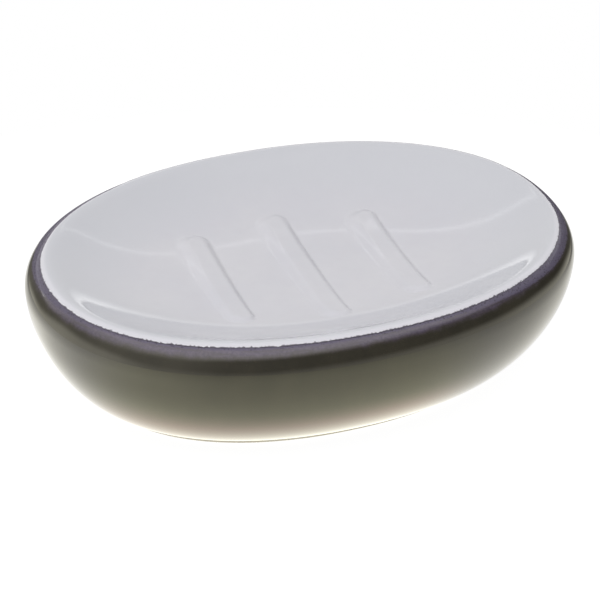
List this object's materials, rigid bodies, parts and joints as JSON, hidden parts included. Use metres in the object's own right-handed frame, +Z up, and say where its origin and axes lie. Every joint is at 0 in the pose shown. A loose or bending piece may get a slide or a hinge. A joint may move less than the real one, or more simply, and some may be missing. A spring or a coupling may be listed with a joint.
{
  "type": "soap dish",
  "caption": "Oval ceramic soap dish: shallow ribbed white basin, rolled rim, dark glazed rounded outside, hollow foot ring with anti-slip pads.",
  "frame": {"origin": "middle of the plane that the pads rest on, below the middle of the dish", "axes": "+X along the dish's long axis, +Y across it and along the ribs, +Z up"},
  "size_m": [0.14, 0.104, 0.036],
  "materials": {
    "clay": "bare fired clay, matt",
    "white_glaze": "glossy white glaze",
    "dark_glaze": "glossy dark brown-grey glaze",
    "silicone": "translucent silicone, satin"
  },
  "bodies": {
    "root": {"clay_body": "clay", "basin_glaze": "white_glaze", "outer_glaze": "dark_glaze", "pad_front_left": "silicone", "pad_front_right": "silicone", "pad_rear_left": "silicone", "pad_rear_right": "silicone"}
  },
  "joints": []
}
